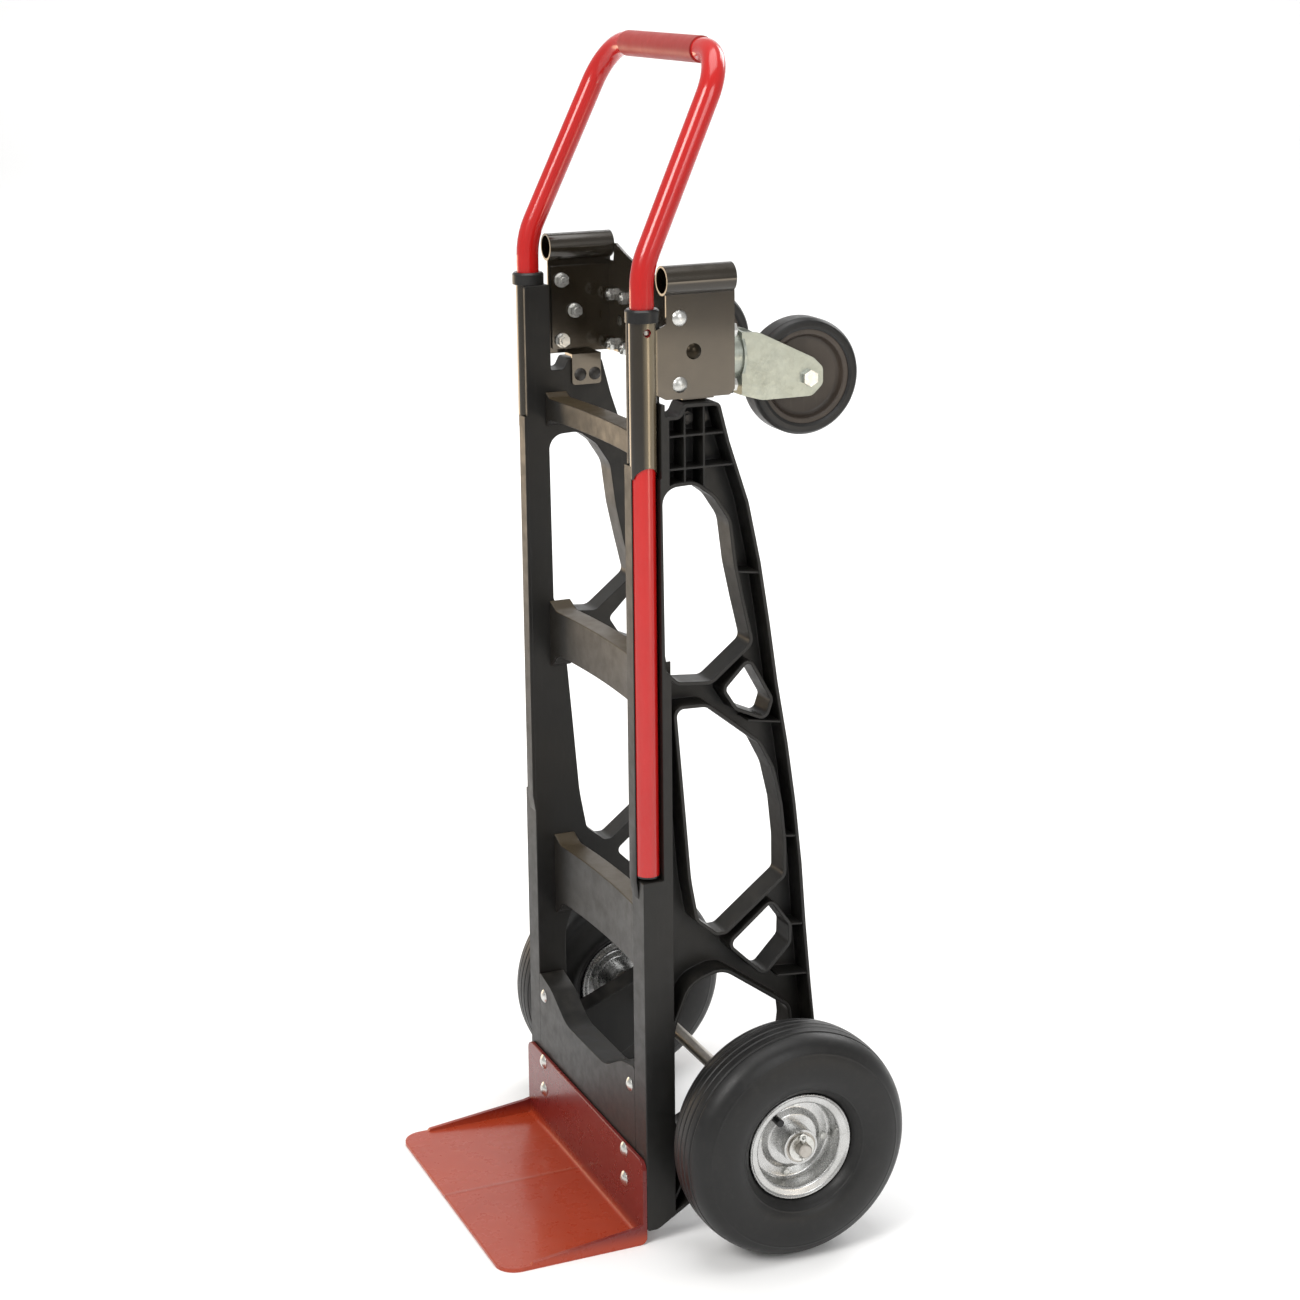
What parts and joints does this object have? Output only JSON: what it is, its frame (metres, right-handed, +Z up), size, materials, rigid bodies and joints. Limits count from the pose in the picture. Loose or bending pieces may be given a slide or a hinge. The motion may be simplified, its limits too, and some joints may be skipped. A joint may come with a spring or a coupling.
{
  "type": "convertible hand truck",
  "caption": "Upright two-wheel hand truck with toe plate, pull-out loop handle and two swivel casters that turn it into a low platform truck.",
  "frame": {"origin": "on the floor, under the middle of the overall box, the truck standing upright on its toe plate and wheels", "axes": "+Z up along the rails, +X across the truck, +Y to the rear where the casters are; the toe plate points to -Y"},
  "size_m": [0.572, 0.449, 1.3206],
  "materials": {
    "frame_nylon": "moulded glass-filled nylon, black, semi-matt",
    "fastener_zinc": "zinc plated",
    "fastener_black": "black oxide",
    "toe_red": "gloss enamel, orange red",
    "bracket_black": "gloss black enamel",
    "collar_nylon": "moulded nylon",
    "handle_red": "gloss red enamel",
    "grip_red": "dull red vinyl",
    "steel_bright": "plain steel",
    "tyre_rubber": "black rubber",
    "rim_silver": "silver enamel",
    "valve_rubber": "black rubber",
    "caster_zinc": "zinc plated, pressed",
    "caster_rubber": "hard black rubber",
    "caster_core": "moulded, dark brown grey"
  },
  "bodies": {
    "frame": {"left_side_frame": "frame_nylon", "right_side_frame": "frame_nylon", "upper_crossmember": "frame_nylon", "middle_crossmember": "frame_nylon", "lower_crossmember": "frame_nylon", "base_crossmember": "frame_nylon", "crossmember_screws": "fastener_zinc", "toe_plate": "toe_red", "toe_plate_bolts": "fastener_zinc", "toe_plate_nuts": "fastener_zinc", "left_head_bracket": "bracket_black", "right_head_bracket": "bracket_black", "caster_cross_plate": "bracket_black", "bracket_bolts": "fastener_zinc", "bracket_nuts": "fastener_zinc", "frame_mount_hardware": "fastener_black", "handle_guide_collars": "collar_nylon", "axle": "steel_bright", "axle_spacers": "steel_bright", "axle_washers": "fastener_zinc", "cotter_pins": "fastener_zinc", "left_caster_top_plate": "caster_zinc", "right_caster_top_plate": "caster_zinc", "left_caster_kingpin": "fastener_zinc", "right_caster_kingpin": "fastener_zinc", "caster_mount_hardware": "fastener_zinc"},
    "handle": {"handle_loop": "handle_red", "handle_grip": "grip_red", "handle_end_plugs": "collar_nylon", "snap_springs": "steel_bright"},
    "left_button": {"left_snap_button": "steel_bright"},
    "left_wheel": {"left_tyre": "tyre_rubber", "left_inner_tube": "tyre_rubber", "left_rim_outer_half": "rim_silver", "left_rim_inner_half": "rim_silver", "left_wheel_hub": "rim_silver", "left_wheel_bearings": "steel_bright", "left_rim_bolts": "fastener_zinc", "left_valve_stem": "valve_rubber"},
    "left_caster_swivel": {"left_caster_fork": "caster_zinc", "left_caster_axle_bolt": "fastener_zinc", "left_caster_axle_sleeve": "steel_bright"},
    "left_caster_wheel": {"left_caster_tread": "caster_rubber", "left_caster_wheel_core": "caster_core"},
    "right_button": {"right_snap_button": "steel_bright"},
    "right_wheel": {"right_tyre": "tyre_rubber", "right_inner_tube": "tyre_rubber", "right_rim_outer_half": "rim_silver", "right_rim_inner_half": "rim_silver", "right_wheel_hub": "rim_silver", "right_wheel_bearings": "steel_bright", "right_rim_bolts": "fastener_zinc", "right_valve_stem": "valve_rubber"},
    "right_caster_swivel": {"right_caster_fork": "caster_zinc", "right_caster_axle_bolt": "fastener_zinc", "right_caster_axle_sleeve": "steel_bright"},
    "right_caster_wheel": {"right_caster_tread": "caster_rubber", "right_caster_wheel_core": "caster_core"}
  },
  "joints": [
    {"name": "handle_slide", "type": "slide", "parent": "frame", "child": "handle", "axis": [0, 0, 1], "range_m": [0, 0.6]},
    {"name": "left_button_press", "type": "slide", "parent": "handle", "child": "left_button", "axis": [-1, 0, 0], "range_m": [0, 0.0035]},
    {"name": "left_wheel_spin", "type": "hinge", "parent": "frame", "child": "left_wheel", "pos_m": [-0.243, 0.0925, 0.132], "axis": [1, 0, 0], "continuous": true},
    {"name": "left_caster_swivel_turn", "type": "hinge", "parent": "frame", "child": "left_caster_swivel", "pos_m": [-0.134, 0.0785, 0.99], "axis": [0, 1, 0], "continuous": true},
    {"name": "left_caster_spin", "type": "hinge", "parent": "left_caster_swivel", "child": "left_caster_wheel", "pos_m": [-0.134, 0.1575, 0.961], "axis": [1, 0, 0], "continuous": true},
    {"name": "right_button_press", "type": "slide", "parent": "handle", "child": "right_button", "axis": [1, 0, 0], "range_m": [0, 0.0035]},
    {"name": "right_wheel_spin", "type": "hinge", "parent": "frame", "child": "right_wheel", "pos_m": [0.243, 0.0925, 0.132], "axis": [1, 0, 0], "continuous": true},
    {"name": "right_caster_swivel_turn", "type": "hinge", "parent": "frame", "child": "right_caster_swivel", "pos_m": [0.134, 0.0785, 0.99], "axis": [0, 1, 0], "continuous": true},
    {"name": "right_caster_spin", "type": "hinge", "parent": "right_caster_swivel", "child": "right_caster_wheel", "pos_m": [0.134, 0.1575, 0.961], "axis": [1, 0, 0], "continuous": true}
  ]
}
